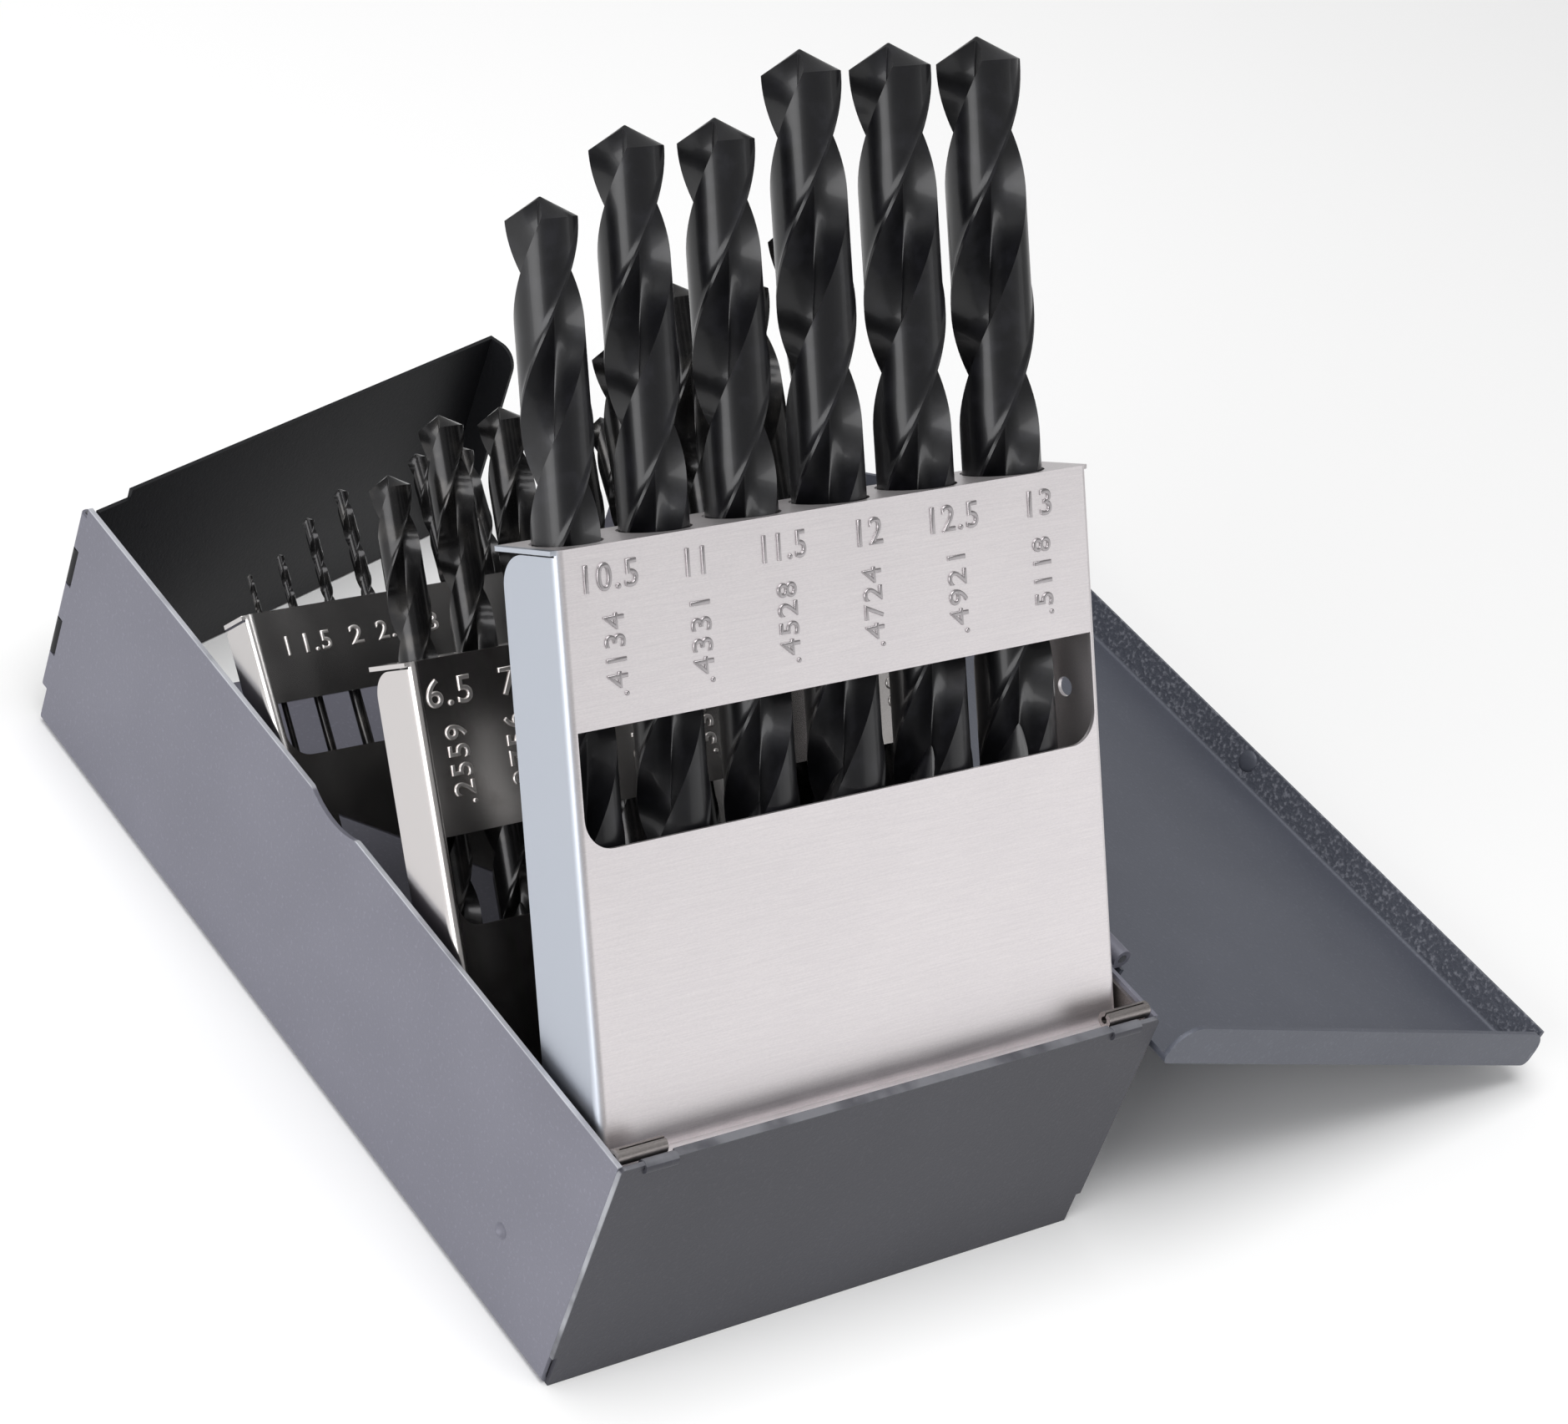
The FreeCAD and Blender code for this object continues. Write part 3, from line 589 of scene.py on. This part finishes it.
def fluted_rod(section, diameter, low, high, end_turn):
    """The section swept up and round between two heights, with its ends closed."""
    only(section)
    bpy.ops.object.duplicate()
    rod = bpy.context.object
    height = high - low
    turn = 360 * height / (diameter * PITCH_SHARE)
    rod.scale = (diameter / 2, diameter / 2, 1)
    rod.rotation_euler = (0, 0, math.radians(end_turn - turn))
    rod.location = (0, 0, low)
    bpy.ops.object.transform_apply(location=True, rotation=True, scale=True)
    steps = max(FEWEST_SWEEPS, round(turn / SWEEP_STEP))
    apply_modifier(rod, "SCREW", angle=math.radians(turn), screw_offset=height, steps=steps,
                   render_steps=steps, axis="Z", use_merge_vertices=False)
    open_for_edit(rod)
    for end in (low, high):
        pick(rod, "verts", lambda vert: abs(vert.co.z - end) < SAME_HEIGHT)
        bpy.ops.mesh.edge_face_add()
    bpy.ops.mesh.select_all(action="SELECT")
    bpy.ops.mesh.normals_make_consistent(inside=False)
    close_edit()
    return rod


def joined(piece, other, operation):
    """Boolean of two closed pieces; the other one is used up."""
    apply_modifier(piece, "BOOLEAN", object=other, operation=operation, solver="MANIFOLD")
    bpy.data.objects.remove(other)


def twist_drill(section, diameter, length, flute):
    """One drill standing on the origin along Z, in millimetres."""
    # The fluted rod runs one diameter past the tip, and the envelope cuts that off.
    end_turn = POINT_TURN + 360 / PITCH_SHARE
    shank_top = length - flute
    drill = fluted_rod(section, diameter, shank_top - diameter * FLUTE_OVERLAP,
                       length + diameter, end_turn)
    joined(drill, point_envelope(diameter, length), "INTERSECT")
    joined(drill, shank(diameter, shank_top), "UNION")
    return drill


def stand_drills(section, rack):
    """Every drill of one rack, standing in its hole."""
    to_case = rack_frame(rack)
    places = bit_places(rack.diameters, rack.left_margin, rack.right_margin)
    for index, diameter in enumerate(rack.diameters):
        drill = twist_drill(section, diameter, rack.lengths[index], rack.flutes[index])
        foot = Vector((places[index], rack.reach - rack.floor_depths[index],
                       rack.face - rack.axis)) * MM
        stand = to_case @ Matrix.Translation(foot) @ Matrix.Rotation(-math.pi / 2, 4, "X")
        place(drill, stand @ TO_METRES)
        smooth(drill, DRILL_SMOOTH)
        size = str(diameter).replace(".", "_")
        skin = LARGE_BLACK if rack is LARGE else BRIGHT_BLACK
        finish_piece(drill, "twist_drill_" + size, rack.body, "black_drill_steel", skin,
                     "drill_bit_" + size)


# Stamped sizes

Stamps = namedtuple("Stamps", "height shifts drop inch_drop inch_length inch_shift")

# Rise, round and inset are shares of the figures' height.
STAMP_RISE = 0.02
STAMP_ROUND = 0.05
STAMP_INSET = 0.028
STAMP_SAME_POINT = 0.003
STAMP_SMOOTH = 50
TEXT_HEIGHT = 0.7
LETTER_SPACE = 1.15
FIGURE_SHARES = {"1": 0.55, ".": 0.5}
FIGURE_WIDTH = 0.75
LONE_ONE = 0.3
INCH_HEIGHT = 0.88
LARGE_STAMPS = Stamps(height=4.2, shifts=[1.6, 1.4, 1.3, 0.9, 0.5, 0.3], drop=4.95,
                      inch_drop=16.3, inch_length=12.3, inch_shift=0.5)
MEDIUM_STAMPS = Stamps(height=4.4, shifts=[0.7] * 8, drop=5.6,
                       inch_drop=16.6, inch_length=12.3, inch_shift=0.2)
SMALL_STAMPS = Stamps(height=3.2, shifts=[1.2, 0.1, 0.8, 0.4, 0.1] + [0.6] * 6, drop=6.3,
                      inch_drop=0, inch_length=0, inch_shift=0)


def stamp(text, height, width, centre, turned):
    """Raised figures in a rack's own flat frame, in millimetres, of a height and a width."""
    figures = added(bpy.ops.object.text_add, location=(0, 0, 0))
    figures.data.body = text
    figures.data.size = height / TEXT_HEIGHT
    figures.data.align_x = "CENTER"
    figures.data.align_y = "CENTER"
    figures.data.space_character = LETTER_SPACE
    figures.data.offset = -STAMP_INSET * height
    figures.data.extrude = STAMP_RISE * height
    figures.data.bevel_depth = STAMP_ROUND * height
    figures.data.bevel_resolution = 3
    bpy.ops.object.convert(target="MESH")
    figures = bpy.context.object
    open_for_edit(figures)
    bpy.ops.mesh.select_all(action="SELECT")
    bpy.ops.mesh.remove_doubles(threshold=STAMP_SAME_POINT)
    bpy.ops.mesh.normals_make_consistent(inside=False)
    close_edit()
    across, up, _ = figures.dimensions
    stretch = Matrix.Diagonal((width / across, height / up, 1, 1))
    turn = Matrix.Rotation(math.pi / 2 if turned else 0, 4, "Z")
    place(figures, Matrix.Translation(Vector(centre)) @ turn @ stretch)
    return figures


def stamp_rack(rack, stamps):
    """The sizes across a rack's face: millimetres upright, inches turned up the face."""
    places = bit_places(rack.diameters, rack.left_margin, rack.right_margin)
    stamped = []
    for diameter, place_across, shift in zip(rack.diameters, places, stamps.shifts):
        across = place_across + shift
        label = str(diameter).removesuffix(".0")
        shares = sum(FIGURE_SHARES.get(figure, 1) for figure in label)
        width = stamps.height * shares * FIGURE_WIDTH * (LONE_ONE if label == "1" else 1)
        centre = (across, rack.reach - stamps.drop, rack.face)
        stamped.append(stamp(label, stamps.height, width, centre, False))
        if stamps.inch_drop:
            inches = "{:.4f}".format(diameter / INCH).lstrip("0")
            height = stamps.height * INCH_HEIGHT
            centre = (across + stamps.inch_shift, rack.reach - stamps.inch_drop, rack.face)
            stamped.append(stamp(inches, height, stamps.inch_length, centre, True))
    only(*stamped)
    bpy.ops.object.join()
    figures = bpy.context.object
    place(figures, rack_frame(rack) @ TO_METRES)
    smooth(figures, STAMP_SMOOTH)
    return figures


# The case

DIMPLE_RADIUS = 2.1
DIMPLE_RISE = 0.6
DIMPLE_SMOOTH = 40
WALL_DIMPLE = (-54.0, -63.6, 15.1)
WALL_DIMPLE_FROM = 0.01
WALL_DIMPLE_TO = 0.6
WALL_DIMPLE_DEEPER = 1.4
LID_DIMPLE = (-54.6, -0.7, 48.2)


def deepen_wall_dimple(tray_shell):
    """Sinks the round dimple low on the left wall a little deeper than the solid's."""
    centre = Vector(WALL_DIMPLE) * MM
    low = centre.x + WALL_DIMPLE_FROM * MM
    high = centre.x + WALL_DIMPLE_TO * MM

    def sunk(vert):
        return (vert.co - centre).length < DIMPLE_RADIUS * MM and low < vert.co.x < high

    open_for_edit(tray_shell)
    pick(tray_shell, "verts", sunk)
    bpy.ops.transform.resize(value=(WALL_DIMPLE_DEEPER, 1, 1), center_override=centre)
    close_edit()


def dress_case():
    """The case's own sheets, each in its paint; the front panel's and the door's paints are darker
    copies of the case's, as painted shade.
    """
    shells = [("tray", "tray_shell", "case", "case_paint", CASE_PAINT, deepen_wall_dimple),
              ("front_panel", "front_panel_skin", "case", "case_paint", SHADED_PANEL_PAINT, None),
              ("lid", "lid_shell", "lid", "lid_paint", LID_PAINT, None),
              ("back_door", "back_door_skin", "back_door", "door_paint", SHADED_DOOR_PAINT, None)]
    for node, name, body, slot, paint, shape in shells:
        finish_piece(eased_copy(node, shape=shape), name, body, slot, paint, node)
    for side in ("left", "right"):
        node = "side_plate_" + side
        finish_piece(eased_copy(node, PLATE_EASE), node + "_skin", "case", "bare_plate",
                     BARE_PLATE, node)


def press_lid_dimple():
    """Low round dimple on the inner side of the lid's far rim, as a lens half sunk into it."""
    hinge = joint_place("lid_swing")
    swing = Matrix.Rotation(math.radians(LID_OPEN), 4, "Y")
    centre = hinge + swing @ (Vector(LID_DIMPLE) * MM - hinge)
    out = swing.to_3x3() @ Vector((1, 0, 0))
    lens = added(bpy.ops.mesh.primitive_uv_sphere_add, segments=40, ring_count=20,
                 radius=DIMPLE_RADIUS * MM)
    open_for_edit(lens)
    bpy.ops.mesh.select_all(action="SELECT")
    bpy.ops.transform.resize(value=(1, 1, DIMPLE_RISE / DIMPLE_RADIUS), center_override=(0, 0, 0))
    close_edit()
    place(lens, Matrix.Translation(centre) @ out.to_track_quat("Z", "Y").to_matrix().to_4x4())
    smooth(lens, DIMPLE_SMOOTH)
    finish_piece(lens, "lid_rim_dimple", "lid", "lid_paint", LID_PAINT)


def dress_racks():
    """The racks' sheets, and the steel of the solids' floors and pins."""
    for rack, sheet in zip(RACKS, (LARGE_SHEET, MEDIUM_SHEET, SMALL_SHEET)):
        node = "rack_" + rack.name
        slot = rack.name + "_rack_sheet"
        finish_piece(eased_copy(node), node + "_skin", rack.body, slot, sheet, node)
        frame["nodes"][node + "_floor"].material_slots[0].material = FLOOR_SHEET
        frame["nodes"][node + "_pin"].material_slots[0].material = HINGE_STEEL
    for node in ("lid_hinge_pin", "back_door_hinge_pin"):
        frame["nodes"][node].material_slots[0].material = HINGE_STEEL


def stamp_racks():
    """The figures on the three racks, each rack's in its own height and steel; the large rack's
    steel is darker than its sheet as painted shade, and the others' is paler than theirs as a
    painted highlight.
    """
    looks = [(LARGE, LARGE_STAMPS, SHADED_LARGE_STAMPS), (MEDIUM, MEDIUM_STAMPS, HIGHLIT_STAMPED_STEEL),
             (SMALL, SMALL_STAMPS, HIGHLIT_STAMPED_STEEL)]
    for rack, stamps, steel in looks:
        finish_piece(stamp_rack(rack, stamps), rack.name + "_rack_figures", rack.body,
                     rack.name + "_rack_sheet", steel)


# Setting

TABLE_SIZE_M = 60
TABLE_TOP = seen(250, 250, 250)
TABLE_ROUGHNESS = 0.9
SKY_STRENGTH = 0.35
LAMP_AIM_M = (0, 0, 0.05)
# Name, place and size in metres, and power in watts.
LAMPS = [("window_left", (-1.3, -0.3, 0.45), (1.0, 0.8), 11),
         ("overhead", (-0.2, -0.05, 1.5), (1.1, 1.1), 17),
         ("card_right", (0.73, -0.89, 0.28), (1.1, 0.5), 1.5)]
# The turn's columns are the camera's right, its up and the way back from what it looks at.
CAMERA_PLACE_M = (-0.37701, -0.37545, 0.42523)
CAMERA_TURN = Matrix(((0.77496, 0.15695, -0.61222),
                      (-0.56383, 0.60934, -0.55750),
                      (0.28555, 0.77722, 0.56071)))
CAMERA_LENS = 91.82
CAMERA_SENSOR = 36
CAMERA_NEAR_M = 0.01


def lay_table():
    """Plain pale table under and behind the case."""
    table = added(bpy.ops.mesh.primitive_plane_add, size=TABLE_SIZE_M, location=(0, 0, 0))
    table.name = "table"
    pale = bpy.data.materials.new("pale_table")
    pale.use_nodes = True
    shader = pale.node_tree.nodes["Principled BSDF"]
    shader.inputs["Base Color"].default_value = TABLE_TOP
    shader.inputs["Roughness"].default_value = TABLE_ROUGHNESS
    table.data.materials.append(pale)


def soft_lamp(name, place_m, size_m, power):
    """Soft rectangular lamp that looks at the middle of the case."""
    lamp = bpy.data.objects.new(name, bpy.data.lights.new(name, "AREA"))
    bpy.context.collection.objects.link(lamp)
    lamp.data.shape = "RECTANGLE"
    lamp.data.size, lamp.data.size_y = size_m
    lamp.data.energy = power
    lamp.location = place_m
    aim = Vector(LAMP_AIM_M) - Vector(place_m)
    lamp.rotation_euler = aim.to_track_quat("-Z", "Y").to_euler()
    lamp.visible_camera = False


def light_studio():
    """White surroundings and three soft lamps."""
    world = bpy.data.worlds.new("studio")
    bpy.context.scene.world = world
    world.use_nodes = True
    sky = world.node_tree.nodes["Background"]
    sky.inputs["Color"].default_value = (1, 1, 1, 1)
    sky.inputs["Strength"].default_value = SKY_STRENGTH
    for lamp in LAMPS:
        soft_lamp(*lamp)


def set_camera():
    """Where the photograph was taken from."""
    camera = added(bpy.ops.object.camera_add, location=(0, 0, 0))
    camera.matrix_world = Matrix.Translation(CAMERA_PLACE_M) @ CAMERA_TURN.to_4x4()
    camera.data.lens = CAMERA_LENS
    camera.data.sensor_width = CAMERA_SENSOR
    camera.data.sensor_fit = "HORIZONTAL"
    camera.data.clip_start = CAMERA_NEAR_M
    bpy.context.scene.camera = camera


def main():
    set_camera()
    lay_table()
    light_studio()
    dress_case()
    press_lid_dimple()
    dress_racks()
    stamp_racks()
    section = drill_section()
    for rack in RACKS:
        stand_drills(section, rack)
    bpy.data.objects.remove(section)
    bpy.context.scene.view_settings.view_transform = "Standard"


main()
